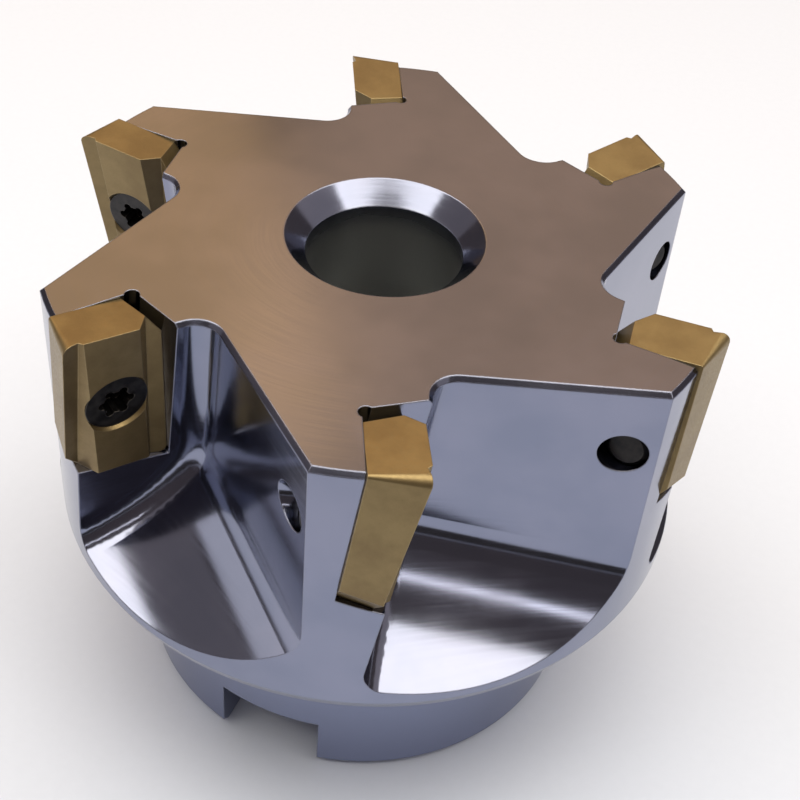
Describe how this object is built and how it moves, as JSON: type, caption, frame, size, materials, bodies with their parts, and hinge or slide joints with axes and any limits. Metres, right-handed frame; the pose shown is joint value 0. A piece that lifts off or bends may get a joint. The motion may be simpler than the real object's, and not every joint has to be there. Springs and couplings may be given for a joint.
{
  "type": "face mill",
  "caption": "Indexable face mill with a stepped hub, curved gullets and gold coated carbide inserts held by small screws, for a 22 mm shell mill arbor.",
  "frame": {"origin": "centre of the bore on the face that seats on the arbor, which is the part's lowest face", "axes": "+Z along the cutter's axis from the arbor face to the cutting face; the drive slot runs along Y and insert 1 is on +X"},
  "size_m": [0.063, 0.0608, 0.0499],
  "materials": {
    "body_steel": "satin nickel plated steel",
    "insert_coating": "gold titanium nitride coating on carbide",
    "screw_black": "black oxide"
  },
  "bodies": {
    "cutter_body": {"cutter_body": "body_steel"},
    "insert_1": {"insert_1": "insert_coating"},
    "insert_screw_1": {"insert_screw_1": "screw_black"},
    "insert_2": {"insert_2": "insert_coating"},
    "insert_screw_2": {"insert_screw_2": "screw_black"},
    "insert_3": {"insert_3": "insert_coating"},
    "insert_screw_3": {"insert_screw_3": "screw_black"},
    "insert_4": {"insert_4": "insert_coating"},
    "insert_screw_4": {"insert_screw_4": "screw_black"},
    "insert_5": {"insert_5": "insert_coating"},
    "insert_screw_5": {"insert_screw_5": "screw_black"},
    "insert_6": {"insert_6": "insert_coating"},
    "insert_screw_6": {"insert_screw_6": "screw_black"}
  },
  "joints": [
    {"name": "insert_1_lift", "type": "slide", "parent": "cutter_body", "child": "insert_1", "axis": [0.0519, 0.9912, -0.1219], "range_m": [0, 0.0056]},
    {"name": "insert_screw_1_turn", "type": "hinge", "parent": "insert_1", "child": "insert_screw_1", "pos_m": [0.02675, -0.00081, 0.04135], "axis": [0.0519, 0.9912, -0.1219], "range_deg": [0, 2880]},
    {"name": "insert_2_lift", "type": "slide", "parent": "cutter_body", "child": "insert_2", "axis": [-0.8324, 0.5406, -0.1219], "range_m": [0, 0.0056]},
    {"name": "insert_screw_2_turn", "type": "hinge", "parent": "insert_2", "child": "insert_screw_2", "pos_m": [0.01408, 0.02276, 0.04135], "axis": [-0.8324, 0.5406, -0.1219], "range_deg": [0, 2880]},
    {"name": "insert_3_lift", "type": "slide", "parent": "cutter_body", "child": "insert_3", "axis": [-0.8844, -0.4506, -0.1219], "range_m": [0, 0.0056]},
    {"name": "insert_screw_3_turn", "type": "hinge", "parent": "insert_3", "child": "insert_screw_3", "pos_m": [-0.01267, 0.02357, 0.04135], "axis": [-0.8844, -0.4506, -0.1219], "range_deg": [0, 2880]},
    {"name": "insert_4_lift", "type": "slide", "parent": "cutter_body", "child": "insert_4", "axis": [-0.0519, -0.9912, -0.1219], "range_m": [0, 0.0056]},
    {"name": "insert_screw_4_turn", "type": "hinge", "parent": "insert_4", "child": "insert_screw_4", "pos_m": [-0.02675, 0.00081, 0.04135], "axis": [-0.0519, -0.9912, -0.1219], "range_deg": [0, 2880]},
    {"name": "insert_5_lift", "type": "slide", "parent": "cutter_body", "child": "insert_5", "axis": [0.8324, -0.5406, -0.1219], "range_m": [0, 0.0056]},
    {"name": "insert_screw_5_turn", "type": "hinge", "parent": "insert_5", "child": "insert_screw_5", "pos_m": [-0.01408, -0.02276, 0.04135], "axis": [0.8324, -0.5406, -0.1219], "range_deg": [0, 2880]},
    {"name": "insert_6_lift", "type": "slide", "parent": "cutter_body", "child": "insert_6", "axis": [0.8844, 0.4506, -0.1219], "range_m": [0, 0.0056]},
    {"name": "insert_screw_6_turn", "type": "hinge", "parent": "insert_6", "child": "insert_screw_6", "pos_m": [0.01267, -0.02357, 0.04135], "axis": [0.8844, 0.4506, -0.1219], "range_deg": [0, 2880]}
  ],
  "couplings": [
    {"joint": "insert_screw_1_turn", "follows": "insert_1_lift", "rad_per_m": 8976},
    {"joint": "insert_screw_2_turn", "follows": "insert_2_lift", "rad_per_m": 8976},
    {"joint": "insert_screw_3_turn", "follows": "insert_3_lift", "rad_per_m": 8976},
    {"joint": "insert_screw_4_turn", "follows": "insert_4_lift", "rad_per_m": 8976},
    {"joint": "insert_screw_5_turn", "follows": "insert_5_lift", "rad_per_m": 8976},
    {"joint": "insert_screw_6_turn", "follows": "insert_6_lift", "rad_per_m": 8976}
  ]
}
